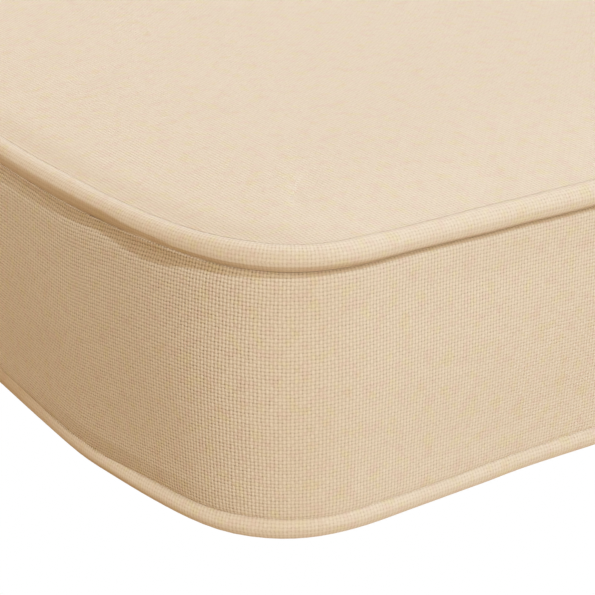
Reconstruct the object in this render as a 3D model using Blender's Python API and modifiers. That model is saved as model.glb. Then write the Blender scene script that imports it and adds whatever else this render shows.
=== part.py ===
"""A bench cushion: a long box-edge seat cushion in plain-woven canvas.

The cover has a crowned top panel, a flat bottom panel and the boxing, the band of cloth that
joins them round the sides. A piping is sewn into the seam along each edge of the boxing. The
boxing is modelled filled, as the one solid that carries the rest, and the panels lie on it as
thin sheets.

X runs along the cushion, Y along its depth with the front at -Y, and Z is up. The origin is in
the middle of the underside. All sizes are in metres.
"""

import math
from typing import NamedTuple

import bmesh
import bpy

# Driving sizes. Length, depth and edge height are taken over the piping.
LENGTH = 1.219
DEPTH = 0.457
EDGE_HEIGHT = 0.0778
CROWN_HEIGHT = 0.084
CLOTH = 0.0015
GAP = 0.0003

# The piping is a round bead that stands a little outside the seam line.
PIPING_RADIUS = 0.00325
PIPING_PROUD = 0.0012
PIPING_RESOLUTION = 3

# A corner of the seam line is a quarter of a superellipse, longer along the short side.
CORNER_LONG = 0.043
CORNER_SHORT = 0.085
CORNER_POWER = 2.65

# The sides are drawn in between the corners and swell between the seams. The fill sits at a
# share of the band's height, higher up on the short sides.
DRAWN_IN_LONG = 0.003
DRAWN_IN_SHORT = 0.004
SWELL_LONG = 0.002
SWELL_SHORT = 0.0045
SWELL_POWER = 0.7
FILL_SHARE_LONG = 0.5
FILL_SHARE_SHORT = 0.6
TUCK_POWER = 6

# The top panel rises quickly beside the piping, and then slowly to the middle.
PANEL_ABOVE_PIPING_MIDDLE = 0.0024
EDGE_RISE = 0.0028
EDGE_REACH = 0.012
BELLY_POWER_LONG = 3.0
BELLY_POWER_SHORT = 2.5

# The bottom panel turns up a little beside the piping.
BOTTOM_LIFT = 0.0006
BOTTOM_FLAT_INSET = 0.012

# How finely the loops and the sections are cut, and where two faces meet in a sharp edge.
SHORT_STEPS = 3
CORNER_STEPS = 12
LONG_STEPS = 9
LONG_STEP_GROWTH = 1.6
BAND_SHARES = (0.07, 0.16, 0.3, 0.5, 0.68, 0.82, 0.9, 0.955)
SEAT_ANGLES = (150, 115, 85)
SHARP_ANGLE = math.radians(35)
SAME_POINT = 1e-6

# Matt canvas, in a colour for each piece.
ROUGHNESS = 0.9
BOXING_COLOUR = (0.62, 0.50, 0.36)
TOP_COLOUR = (0.74, 0.63, 0.50)
BOTTOM_COLOUR = (0.66, 0.54, 0.40)
PIPING_COLOUR = (0.70, 0.58, 0.43)

# The groove of a piping is a little wider than the circle that clears it, and the fill stays a
# little further from the top panel than the gap.
SEAT_SLACK = 1.05
FILL_SLACK = 0.0002

# Sizes that follow from the ones above.
HALF_LENGTH = LENGTH / 2 - PIPING_PROUD
HALF_DEPTH = DEPTH / 2 - PIPING_PROUD
PIPING_INSET = PIPING_RADIUS - PIPING_PROUD
LOWER_PIPING_Z = GAP + PIPING_RADIUS
UPPER_PIPING_Z = LOWER_PIPING_Z + EDGE_HEIGHT - 2 * PIPING_RADIUS
PIPING_CLEAR = PIPING_RADIUS + GAP
LIP_ANGLE = math.acos(PIPING_INSET / PIPING_CLEAR)
SEAT_RADIUS = PIPING_CLEAR * SEAT_SLACK
PANEL_INSET = PIPING_INSET + PIPING_CLEAR
PANEL_EDGE_Z = UPPER_PIPING_Z + PANEL_ABOVE_PIPING_MIDDLE
BELLY = CROWN_HEIGHT - PANEL_EDGE_Z - EDGE_RISE
FILL_UNDER_PANEL = CLOTH + GAP + FILL_SLACK
RIDGE_HALF_LENGTH = HALF_LENGTH - HALF_DEPTH

# Rings of a panel: the inset from the seam line, and then the share of the way to the ridge.
PANEL_RINGS = (
    (0.009, 0.0),
    (0.015, 0.0),
    (0.015, 0.1),
    (0.015, 0.25),
    (0.015, 0.5),
    (0.015, 0.75),
    (0.015, 1.0),
)

SIDES = {"front": (0, -1), "back": (0, 1), "left": (-1, 0), "right": (1, 0)}


class Wave(NamedTuple):
    """A place where a seam runs in, or out if the depth is negative."""

    seam: str
    side: str
    middle: float
    reach: float
    depth: float


class Tuck(NamedTuple):
    """A place where the boxing tucks in under the upper piping, by a share of the way."""

    side: str
    middle: float
    reach: float
    share: float


class Hollow(NamedTuple):
    """A soft trough in the boxing, along one side."""

    side: str
    middle: float
    reach: float
    height: float
    half_height: float
    depth: float


SEAM_WAVES = (
    Wave("lower", "front", middle=-0.522, reach=0.032, depth=0.0015),
    Wave("lower", "front", middle=-0.210, reach=0.120, depth=-0.0010),
    Wave("lower", "front", middle=0.260, reach=0.150, depth=0.0012),
    Wave("lower", "left", middle=-0.083, reach=0.045, depth=0.0013),
    Wave("lower", "right", middle=0.060, reach=0.070, depth=0.0012),
    Wave("lower", "back", middle=-0.300, reach=0.140, depth=0.0012),
    Wave("upper", "front", middle=-0.460, reach=0.140, depth=-0.0014),
    Wave("upper", "front", middle=0.120, reach=0.160, depth=0.0010),
    Wave("upper", "left", middle=-0.178, reach=0.060, depth=0.0014),
    Wave("upper", "back", middle=0.240, reach=0.150, depth=0.0012),
)

TUCKS = (
    Tuck("left", middle=-0.090, reach=0.105, share=0.7),
    Tuck("left", middle=0.130, reach=0.080, share=0.5),
    Tuck("right", middle=0.070, reach=0.120, share=0.6),
    Tuck("back", middle=0.350, reach=0.200, share=0.4),
)

BAND_HOLLOWS = (
    Hollow("left", middle=-0.100, reach=0.105, height=0.0660, half_height=0.0055, depth=0.0020),
    Hollow("left", middle=0.120, reach=0.080, height=0.0650, half_height=0.0065, depth=0.0016),
    Hollow("right", middle=0.090, reach=0.110, height=0.0655, half_height=0.0060, depth=0.0018),
    Hollow("right", middle=-0.130, reach=0.070, height=0.0150, half_height=0.0080, depth=0.0015),
    Hollow("front", middle=0.300, reach=0.160, height=0.0300, half_height=0.0200, depth=0.0012),
    Hollow("back", middle=-0.150, reach=0.180, height=0.0450, half_height=0.0200, depth=0.0012),
)


class Station(NamedTuple):
    """A place on the seam line, and the direction that points out of the cushion there."""

    x: float
    y: float
    out_x: float
    out_y: float


def bump(distance):
    """A smooth hump: 1 in the middle and 0 from a distance of 1 on."""
    return (1 + math.cos(math.pi * min(abs(distance), 1))) / 2


def blend(first, second, share):
    """The value at a share of the way from the first to the second."""
    return first + (second - first) * share


def drawn_in(share, depth):
    """How far a side runs in at a share of the way from its corner to its middle."""
    return depth * (1 - math.cos(math.pi * share)) / 2


def corner_point(turn):
    """The point of the right back corner where the seam line's outward direction has turned
    by this angle, from 0 at the right end to 90 degrees at the back."""
    power = CORNER_POWER / (2 * (CORNER_POWER - 1))
    angle = math.atan((CORNER_SHORT / CORNER_LONG * math.tan(turn)) ** power)
    return (
        HALF_LENGTH - CORNER_LONG * (1 - math.cos(angle) ** (2 / CORNER_POWER)),
        HALF_DEPTH - CORNER_SHORT * (1 - math.sin(angle) ** (2 / CORNER_POWER)),
    )


def quarter_line():
    """The seam line from the middle of the right end, round the corner, to the middle of the
    back."""
    short_run = HALF_DEPTH - CORNER_SHORT
    long_run = HALF_LENGTH - CORNER_LONG
    points = []
    for step in range(SHORT_STEPS):
        share = 1 - step / SHORT_STEPS
        points.append((HALF_LENGTH - drawn_in(share, DRAWN_IN_SHORT), short_run * (1 - share)))
    for step in range(CORNER_STEPS):
        points.append(corner_point(math.radians(90) * step / CORNER_STEPS))
    for step in range(LONG_STEPS + 1):
        share = (step / LONG_STEPS) ** LONG_STEP_GROWTH
        points.append((long_run * (1 - share), HALF_DEPTH - drawn_in(share, DRAWN_IN_LONG)))
    return points


def seam_line():
    """The stations round the whole seam line, counterclockwise seen from above."""
    quarter = quarter_line()
    back = quarter + [(-x, y) for x, y in reversed(quarter[:-1])]
    points = back + [(-x, -y) for x, y in back[1:-1]]
    stations = []
    for index, (x, y) in enumerate(points):
        before = points[index - 1]
        after = points[(index + 1) % len(points)]
        run_x, run_y = after[0] - before[0], after[1] - before[1]
        run = math.hypot(run_x, run_y)
        stations.append(Station(x, y, run_y / run, -run_x / run))
    return stations


def reach_of(station, place):
    """How much a wave, tuck or hollow acts at a station, from 0 to 1: most in its middle, and
    only where the station looks to its side."""
    out_x, out_y = SIDES[place.side]
    along = station.x if out_x == 0 else station.y
    facing = max(0, station.out_x * out_x + station.out_y * out_y)
    return facing * bump((along - place.middle) / place.reach)


def seam_shift(station, seam):
    """How far the waves move one seam inwards at a station."""
    return sum(wave.depth * reach_of(station, wave) for wave in SEAM_WAVES if wave.seam == seam)


def inset_point(station, height_share, inset):
    """The point at an inset from the seam line. The height share goes from 0 at the lower seam
    to 1 at the upper one."""
    shift = blend(seam_shift(station, "lower"), seam_shift(station, "upper"), height_share)
    total = inset + shift
    return station.x - station.out_x * total, station.y - station.out_y * total


def lip(station, upper):
    """The inset of the boxing's edge beside a piping, and its height from the piping's middle.
    The lip lies on the circle that clears the piping, further under it where it is tucked."""
    tucked = sum(tuck.share * reach_of(station, tuck) for tuck in TUCKS) if upper else 0
    angle = blend(LIP_ANGLE, math.radians(90), min(tucked, 1))
    return PIPING_INSET - PIPING_CLEAR * math.cos(angle), PIPING_CLEAR * math.sin(angle)


def band_swell(station, share, z):
    """How far the boxing stands outside the seam line at a share of the band's height."""
    short = station.out_x**2
    swell = blend(SWELL_LONG, SWELL_SHORT, short)
    fill_share = blend(FILL_SHARE_LONG, FILL_SHARE_SHORT, short)
    bent = share ** (math.log(0.5) / math.log(fill_share))
    hollows = sum(
        hollow.depth * reach_of(station, hollow) * bump((z - hollow.height) / hollow.half_height)
        for hollow in BAND_HOLLOWS
    )
    return swell * math.sin(math.pi * bent) ** SWELL_POWER - hollows


def band_point(station, share):
    """A point of the boxing's outer face, at a share of the way from its lower lip to its
    upper one."""
    lower_inset, lower_rise = lip(station, upper=False)
    upper_inset, upper_drop = lip(station, upper=True)
    z = blend(LOWER_PIPING_Z + lower_rise, UPPER_PIPING_Z - upper_drop, share)
    lips = lower_inset * (1 - share) ** TUCK_POWER + upper_inset * share**TUCK_POWER
    return (*inset_point(station, share, lips - band_swell(station, share, z)), z)


def panel_point(station, inset, share):
    """A point of the top panel, and its distance from the seam line along its spoke. A spoke
    runs square to the seam line for the inset, and then straight to the ridge."""
    x, y = inset_point(station, 1, inset)
    ridge_x = max(-RIDGE_HALF_LENGTH, min(RIDGE_HALF_LENGTH, station.x))
    distance = inset + share * math.hypot(x - ridge_x, y)
    return blend(x, ridge_x, share), blend(y, 0, share), distance


def crown(x, y, distance):
    """The height of the top panel's upper face."""
    rise = EDGE_RISE * (1 - math.exp(-max(0, distance - PANEL_INSET) / EDGE_REACH))
    long_fall = min(1, abs(x) / HALF_LENGTH) ** BELLY_POWER_LONG
    short_fall = min(1, abs(y) / HALF_DEPTH) ** BELLY_POWER_SHORT
    return PANEL_EDGE_Z + rise + BELLY * (1 - long_fall) * (1 - short_fall)


def flat_ring(stations, height_share, inset, z):
    """A level ring at one inset."""
    return [(*inset_point(station, height_share, inset), z) for station in stations]


def crown_rings(stations, first_inset, drop):
    """The rings of the crown from one inset to the ridge, at a drop below the top panel's
    upper face."""
    rings = []
    for inset, share in ((first_inset, 0.0), *PANEL_RINGS):
        ring = []
        for station in stations:
            x, y, distance = panel_point(station, inset, share)
            ring.append((x, y, crown(x, y, distance) - drop))
        rings.append(ring)
    return rings


def seat_rings(stations, upper):
    """The rings of the groove in which a piping sits, from its inner side to its outer one."""
    rings = []
    for angle in SEAT_ANGLES:
        turn = math.radians(angle)
        inset = PIPING_INSET - SEAT_RADIUS * math.cos(turn)
        height = SEAT_RADIUS * math.sin(turn)
        z = UPPER_PIPING_Z - height if upper else LOWER_PIPING_Z + height
        rings.append(flat_ring(stations, int(upper), inset, z))
    return rings


def band_rings(stations):
    """The rings of the boxing's outer face, from the lower lip to the upper one."""
    return [[band_point(station, share) for station in stations] for share in (0, *BAND_SHARES, 1)]


def loft(name, rings, cap_first):
    """A mesh of quads between rings of equal length. The first ring can be capped, and points
    of a ring that meet become one."""
    form = bmesh.new()
    rows = [[form.verts.new(point) for point in ring] for ring in rings]
    for lower, upper in zip(rows, rows[1:]):
        for index in range(len(lower)):
            form.faces.new((lower[index - 1], lower[index], upper[index], upper[index - 1]))
    if cap_first:
        form.faces.new(tuple(reversed(rows[0])))
    bmesh.ops.remove_doubles(form, verts=form.verts, dist=SAME_POINT)
    mesh = bpy.data.meshes.new(name)
    form.to_mesh(mesh)
    form.free()
    mesh.shade_smooth()
    mesh.set_sharp_from_angle(angle=SHARP_ANGLE)
    return mesh


def cloth_material(name, colour):
    """A matt cloth of one colour."""
    material = bpy.data.materials.new(name)
    material.use_nodes = True
    shader = material.node_tree.nodes["Principled BSDF"]
    shader.inputs["Base Color"].default_value = (*colour, 1)
    shader.inputs["Roughness"].default_value = ROUGHNESS
    shader.inputs["Metallic"].default_value = 0.0
    return material


def add_part(collection, name, data, colour):
    """A named object in the collection, with a material of its own."""
    part = bpy.data.objects.new(name, data)
    data.materials.append(cloth_material(name + "_cloth", colour))
    collection.objects.link(part)
    return part


def thicken(part):
    """Gives an open sheet the thickness of the cloth, behind its face."""
    solidify = part.modifiers.new("cloth", "SOLIDIFY")
    solidify.thickness = CLOTH
    solidify.offset = -1
    solidify.use_even_offset = True


def add_filled_boxing(collection, stations):
    """The boxing with its fill: a groove for the piping along each edge, the crown on top."""
    seat_inset = PIPING_INSET + SEAT_RADIUS
    fill_floor = CLOTH + GAP
    rings = [
        flat_ring(stations, 0, BOTTOM_FLAT_INSET, fill_floor),
        flat_ring(stations, 0, seat_inset, fill_floor + BOTTOM_LIFT),
        *seat_rings(stations, upper=False),
        *band_rings(stations),
        *reversed(seat_rings(stations, upper=True)),
        *crown_rings(stations, seat_inset, FILL_UNDER_PANEL),
    ]
    mesh = loft("filled_boxing", rings, cap_first=True)
    add_part(collection, "filled_boxing", mesh, BOXING_COLOUR)


def add_top_panel(collection, stations):
    """The crowned top panel."""
    mesh = loft("top_panel", crown_rings(stations, PANEL_INSET, 0), cap_first=False)
    thicken(add_part(collection, "top_panel", mesh, TOP_COLOUR))


def add_bottom_panel(collection, stations):
    """The bottom panel: flat, with its rim turned up beside the piping."""
    rings = [
        flat_ring(stations, 0, BOTTOM_FLAT_INSET, 0),
        flat_ring(stations, 0, PANEL_INSET, BOTTOM_LIFT),
    ]
    mesh = loft("bottom_panel", rings, cap_first=True)
    thicken(add_part(collection, "bottom_panel", mesh, BOTTOM_COLOUR))


def add_piping(collection, name, stations, height_share, z):
    """A piping: a round bead that follows its seam."""
    curve = bpy.data.curves.new(name, "CURVE")
    curve.dimensions = "3D"
    curve.bevel_depth = PIPING_RADIUS
    curve.bevel_resolution = PIPING_RESOLUTION
    ring = flat_ring(stations, height_share, PIPING_INSET, z)
    spline = curve.splines.new("POLY")
    spline.points.add(len(ring) - 1)
    for point, place in zip(spline.points, ring):
        point.co = (*place, 1)
    spline.use_cyclic_u = True
    add_part(collection, name, curve, PIPING_COLOUR)


def main():
    """Builds the cushion in an empty scene."""
    for item in list(bpy.data.objects):
        bpy.data.objects.remove(item)
    collection = bpy.data.collections.new("bench_cushion")
    bpy.context.scene.collection.children.link(collection)
    stations = seam_line()
    add_filled_boxing(collection, stations)
    add_top_panel(collection, stations)
    add_bottom_panel(collection, stations)
    add_piping(collection, "top_piping", stations, 1, UPPER_PIPING_Z)
    add_piping(collection, "bottom_piping", stations, 0, LOWER_PIPING_Z)


main()
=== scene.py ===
"""The looks of a bench cushion: a long box-edge seat cushion in plain-woven canvas.

The cover is laid out the way it is sewn: a boxing band round the sides, a top and a bottom panel,
and a piping in the seam along each edge. One closed skin of the whole cover is blown up from
inside by a cloth simulation, held at its seams, and the pieces are then cut from that skin.

X runs along the cushion, Y from its front to its back, and Z is up. All sizes are in metres.
"""

import logging
import math
from collections.abc import Callable
from dataclasses import dataclass
from enum import Enum
from typing import Any, NamedTuple

import bmesh
import bpy
import numpy as np
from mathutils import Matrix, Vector


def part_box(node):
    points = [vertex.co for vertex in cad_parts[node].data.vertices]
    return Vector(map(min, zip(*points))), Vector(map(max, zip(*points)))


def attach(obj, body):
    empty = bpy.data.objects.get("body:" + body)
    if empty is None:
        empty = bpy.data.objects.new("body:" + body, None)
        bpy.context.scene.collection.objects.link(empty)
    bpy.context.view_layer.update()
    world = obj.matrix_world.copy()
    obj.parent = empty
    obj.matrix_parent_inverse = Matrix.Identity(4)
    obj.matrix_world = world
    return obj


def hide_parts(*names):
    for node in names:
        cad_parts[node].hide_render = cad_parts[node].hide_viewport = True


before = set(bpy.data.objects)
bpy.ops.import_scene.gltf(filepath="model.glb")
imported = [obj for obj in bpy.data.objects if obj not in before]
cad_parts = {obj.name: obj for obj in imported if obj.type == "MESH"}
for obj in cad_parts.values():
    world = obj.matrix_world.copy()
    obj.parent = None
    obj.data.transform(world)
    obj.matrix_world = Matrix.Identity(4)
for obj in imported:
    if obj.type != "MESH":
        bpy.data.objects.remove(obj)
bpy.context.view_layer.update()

LOG = logging.getLogger("bench_cushion")
THREAD_MAP = "threads"
BODY = "root"
THREAD_PITCH = 0.00096
LEAST_STEP = 1e-9
SENSOR_WIDTH = 36.0
PHOTO_PIXELS = 595
FOCAL_PIXELS = 2000

# A painted shade mark goes from 0 where the painted shade starts, past full shade, to where the
# shade has ended.
SHADE_FULL_FROM = 0.15
SHADE_FULL_UNTIL = 0.85
SHADE_ENDED = 1.10
IN_SHADE = 0.8
OUT_OF_SHADE = 1.15


class Side(Enum):
    """A side of the cushion, with the direction in which it faces."""

    FRONT = (0, -1)
    BACK = (0, 1)
    LEFT = (-1, 0)
    RIGHT = (1, 0)


class Edge(Enum):
    """One of the two piped seams."""

    LOWER = 0
    UPPER = 1


class Slot(Enum):
    """A material slot of the record."""

    BOXING = "boxing_canvas"
    PANEL = "panel_canvas"
    PIPING = "piping_canvas"


CONTRASTS = {Slot.BOXING: 1.0, Slot.PANEL: 0.7, Slot.PIPING: 0.65}


class Wave(NamedTuple):
    """A place where a seam runs in, or out if the depth is negative."""

    edge: Edge
    side: Side
    middle: float
    reach: float
    depth: float


class Tuck(NamedTuple):
    """A place along a side where something acts on the cloth, such as a tuck or a shade, and how
    strongly: as a share, or in degrees round a piping where it moves the edge of a shade."""

    side: Side
    middle: float
    reach: float
    share: float


class Shade(NamedTuple):
    """A painted shade on the cloth's colour: how far through the shaded band each point is, and how
    deep the shade.
    """

    shade_down: Any
    shade_depth: Any


class Hollow(NamedTuple):
    """A soft trough in the boxing, along one side."""

    side: Side
    middle: float
    reach: float
    height: float
    half_height: float
    depth: float


class Crease(NamedTuple):
    """A soft trough in the top panel, or a ridge if the depth is negative, from one point to
    another. The points are distances from the front left corner of the seam line's box."""

    start_x: float
    start_y: float
    end_x: float
    end_y: float
    half_width: float
    depth: float


def bump(distance: np.ndarray) -> np.ndarray:
    """A smooth hump: 1 in the middle and 0 from a distance of 1 on."""
    return (1 + np.cos(np.pi * np.minimum(np.abs(distance), 1))) / 2


def blend(first: Any, second: Any, share: Any) -> Any:
    """The value at a share of the way from the first to the second."""
    return first + (second - first) * share


def eased(share: np.ndarray) -> np.ndarray:
    """A share from 0 to 1 with soft ends."""
    inside = np.clip(share, 0, 1)
    return inside * inside * (3 - 2 * inside)


def height_angle(angle: float) -> float:
    """How many degrees a point at an angle round a piping is above the piping's middle."""
    return math.degrees(math.asin(math.sin(angle)))


@dataclass(frozen=True)
class Sizes:
    """The main sizes of the cushion."""

    half_length: float
    half_depth: float
    lower_z: float
    upper_z: float
    crown_z: float
    bead_radius: float = 0.00325
    bead_proud: float = 0.0012
    upper_rise: float = 0.0005
    cloth: float = 0.0015
    gap: float = 0.0003
    snug: float = 0.00002
    under_flat_inset: float = 0.012
    under_turn: float = 0.003
    under_lift: float = 0.0012

    @classmethod
    def of_frame(cls) -> "Sizes":
        """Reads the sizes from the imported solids.

        Returns:
            The sizes, with both half sizes measured to the seam line.
        """
        upper_low, upper_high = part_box("top_piping")
        lower_low, lower_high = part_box("bottom_piping")
        _, panel_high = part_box("top_panel")
        return cls(
            half_length=upper_high.x - cls.bead_proud,
            half_depth=upper_high.y - cls.bead_proud,
            lower_z=(lower_low.z + lower_high.z) / 2,
            upper_z=(upper_low.z + upper_high.z) / 2 + cls.upper_rise,
            crown_z=panel_high.z,
        )

    @property
    def bead_inset(self) -> float:
        """How far inside the seam line the middle of a piping lies."""
        return self.bead_radius - self.bead_proud

    @property
    def under_inset(self) -> float:
        """How far inside the seam line the bottom panel ends, beside the lower piping."""
        return self.bead_inset + self.bead_radius + self.gap


@dataclass
class SeamLine:
    """The line along which the cover is sewn, seen from above, and the stations on it.

    The stations run counterclockwise from the middle of the front left corner. Each side has
    the cells of the inner rectangle that it faces.
    """

    sizes: Sizes
    corner_long: float = 0.043
    corner_short: float = 0.085
    corner_power: float = 2.65
    drawn_in_long: float = 0.003
    drawn_in_short: float = 0.004
    long_cells: int = 142
    short_cells: int = 40
    corner_crowding: float = 0.2
    trace_steps: int = 160
    waves: tuple[Wave, ...] = (
        Wave(Edge.LOWER, Side.FRONT, -0.507, 0.045, 0.0013),
        Wave(Edge.LOWER, Side.FRONT, -0.210, 0.120, -0.0010),
        Wave(Edge.LOWER, Side.FRONT, 0.260, 0.150, 0.0012),
        Wave(Edge.LOWER, Side.LEFT, -0.210, 0.020, -0.0016),
        Wave(Edge.LOWER, Side.LEFT, -0.176, 0.028, 0.0009),
        Wave(Edge.LOWER, Side.LEFT, -0.110, 0.058, 0.0012),
        Wave(Edge.LOWER, Side.LEFT, -0.078, 0.050, 0.0010),
        Wave(Edge.LOWER, Side.RIGHT, 0.060, 0.070, 0.0012),
        Wave(Edge.LOWER, Side.BACK, -0.300, 0.140, 0.0012),
        Wave(Edge.UPPER, Side.FRONT, -0.460, 0.140, -0.0014),
        Wave(Edge.UPPER, Side.FRONT, 0.120, 0.160, 0.0010),
        Wave(Edge.UPPER, Side.LEFT, -0.178, 0.060, 0.0014),
        Wave(Edge.UPPER, Side.BACK, 0.240, 0.150, 0.0012),
    )
    ripples: tuple[tuple[float, float, float], ...] = (
        (41.0, 0.4, 0.00009), (97.0, 2.1, 0.00008), (173.0, 4.4, 0.00005))

    def __post_init__(self) -> None:
        """Places the stations."""
        trace = self._trace()
        after = np.roll(trace, -1, axis=0)
        steps = np.hypot(*(after - trace).T)
        along = np.concatenate([[0], np.cumsum(steps)])
        run = after - np.roll(trace, 1, axis=0)
        out = np.stack([run[:, 1], -run[:, 0]], axis=1) / np.hypot(*run.T)[:, None]
        quarter = along[-1] / 4
        middle = np.interp(45, np.degrees(np.arctan2(out[:, 1], out[:, 0]))[: len(trace) // 4],
                           along[: len(trace) // 4])
        places = self._places(quarter, middle)
        closed = np.vstack([trace, trace[:1]])
        closed_out = np.vstack([out, out[:1]])
        at = places[:-1] % along[-1]
        self.points = np.stack([np.interp(at, along, closed[:, axis]) for axis in (0, 1)], axis=1)
        self.out = np.stack([np.interp(at, along, closed_out[:, axis]) for axis in (0, 1)], axis=1)
        self.out /= np.hypot(*self.out.T)[:, None]
        self.along = places - places[0]
        self.girth = float(self.along[-1])
        self.count = len(self.points)
        self.shifts = {edge: self._shift(edge) for edge in Edge}

    def _trace(self) -> np.ndarray:
        """Traces the seam line with many points.

        Returns:
            The points, counterclockwise from the middle of the right end.
        """
        short_run = self.sizes.half_depth - self.corner_short
        long_run = self.sizes.half_length - self.corner_long
        share = np.linspace(0, 1, self.trace_steps, endpoint=False)
        short = [self.sizes.half_length - self._drawn_in(1 - share, self.drawn_in_short),
                 short_run * share]
        power = self.corner_power / (2 * (self.corner_power - 1))
        turn = np.radians(90) * share
        angle = np.arctan((self.corner_short / self.corner_long * np.tan(turn)) ** power)
        exponent = 2 / self.corner_power
        corner = [self.sizes.half_length - self.corner_long * (1 - np.cos(angle) ** exponent),
                  self.sizes.half_depth - self.corner_short * (1 - np.sin(angle) ** exponent)]
        share = np.linspace(0, 1, self.trace_steps * 2 + 1)
        long = [long_run * (1 - share),
                self.sizes.half_depth - self._drawn_in(share, self.drawn_in_long)]
        quarter = np.hstack([short, corner, long]).T
        back = np.vstack([quarter, (quarter * (-1, 1))[-2::-1]])
        return np.vstack([back, -back[1:-1]])

    def _places(self, quarter: float, middle: float) -> np.ndarray:
        """Spreads the stations along the line, a little closer together towards the corners.

        Args:
            quarter: The length of a quarter of the line.
            middle: The length from the middle of the right end to the middle of its corner.

        Returns:
            The length along the line of each station, and of the first one a lap later.
        """
        corners = [2 * quarter + middle, 4 * quarter - middle, 4 * quarter + middle,
                   6 * quarter - middle, 6 * quarter + middle]
        cells = (self.long_cells, self.short_cells) * 2
        places = [start + (end - start) * self.spread(count)[:-1]
                  for start, end, count in zip(corners, corners[1:], cells)]
        return np.concatenate([*places, corners[-1:]])

    def spread(self, cells: int) -> np.ndarray:
        """The share of a side at each of its stations."""
        share = np.linspace(0, 1, cells + 1)
        return share - self.corner_crowding * np.sin(2 * np.pi * share) / (2 * np.pi)

    @staticmethod
    def _drawn_in(share: np.ndarray, depth: float) -> np.ndarray:
        """How far a side runs in at a share of the way from its corner to its middle."""
        return depth * (1 - np.cos(np.pi * share)) / 2

    def reach_of(self, place: Any) -> np.ndarray:
        """How much a wave, tuck or hollow acts at each station, from 0 to 1.

        Args:
            place: What acts, with its side, middle and reach.

        Returns:
            One number a station: most in the middle, and only where the line faces that side.
        """
        out_x, out_y = place.side.value
        along = self.points[:, 0] if out_x == 0 else self.points[:, 1]
        facing = np.maximum(0, self.out @ np.array([out_x, out_y], float))
        return facing * bump((along - place.middle) / place.reach)

    def _shift(self, edge: Edge) -> np.ndarray:
        """Adds up how far the waves move a seam inwards.

        Args:
            edge: The seam.

        Returns:
            One distance a station.
        """
        shift = np.zeros(self.count)
        for wave in self.waves:
            if wave.edge is edge:
                shift += wave.depth * self.reach_of(wave)
        return shift

    def bead_radius(self, edge: Edge) -> np.ndarray:
        """The radius of a piping, with the unevenness of the wrapped cord.

        Args:
            edge: The seam of the piping.

        Returns:
            One radius a station.
        """
        along = 2 * np.pi * self.along[:-1] / self.girth
        uneven = sum(size * np.sin(turns * along + start + edge.value)
                     for turns, start, size in self.ripples)
        return self.sizes.bead_radius + uneven

    def beside_bead(self, edge: Edge, angle: Any, slack: float = 1.0) -> tuple[Any, Any]:
        """Places cloth against a piping.

        Args:
            edge: The seam of the piping.
            angle: The angle round it in degrees, from 0 outside to 180 inside.
            slack: The distance from its middle, as a share of where the cloth touches it.

        Returns:
            The inset of each station, and its distance from the piping's middle in height.
        """
        turn = np.radians(angle)
        away = (self.bead_radius(edge) + self.sizes.snug) * slack
        return self.sizes.bead_inset - away * np.cos(turn), away * np.sin(turn)

    def inset(self, height_share: Any, inset: Any) -> np.ndarray:
        """The points in the plane at an inset, from a share of 0 at the lower seam to 1 above."""
        shift = blend(self.shifts[Edge.LOWER], self.shifts[Edge.UPPER], height_share)
        return self.points - self.out * (shift + inset)[:, None]

    def cloth_span(self, first: int) -> tuple[float, float]:
        """The places along a band of cloth of a station and the next. Its join is far away."""
        lap = self.girth if first >= self.count // 2 else 0.0
        return self.along[first] - lap, self.along[first + 1] - lap

    def border_cells(self) -> tuple[np.ndarray, np.ndarray]:
        """Finds the cells on the border of the inner rectangle's grid.

        Returns:
            The row and the column that each station faces.
        """
        rows, columns = np.arange(self.long_cells), np.arange(self.short_cells)
        first_row, first_column = 0 * columns, 0 * rows
        last_row, last_column = self.long_cells + first_row, self.short_cells + first_column
        return (np.concatenate([rows, last_row, self.long_cells - rows, first_row]),
                np.concatenate([first_column, columns, last_column, self.short_cells - columns]))

    def ring(self, height_share: Any, inset: Any, z: Any) -> np.ndarray:
        """The points at an inset from the seam line, at a height."""
        flat = self.inset(height_share, inset)
        return np.column_stack([flat, np.broadcast_to(z, self.count)])


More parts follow.
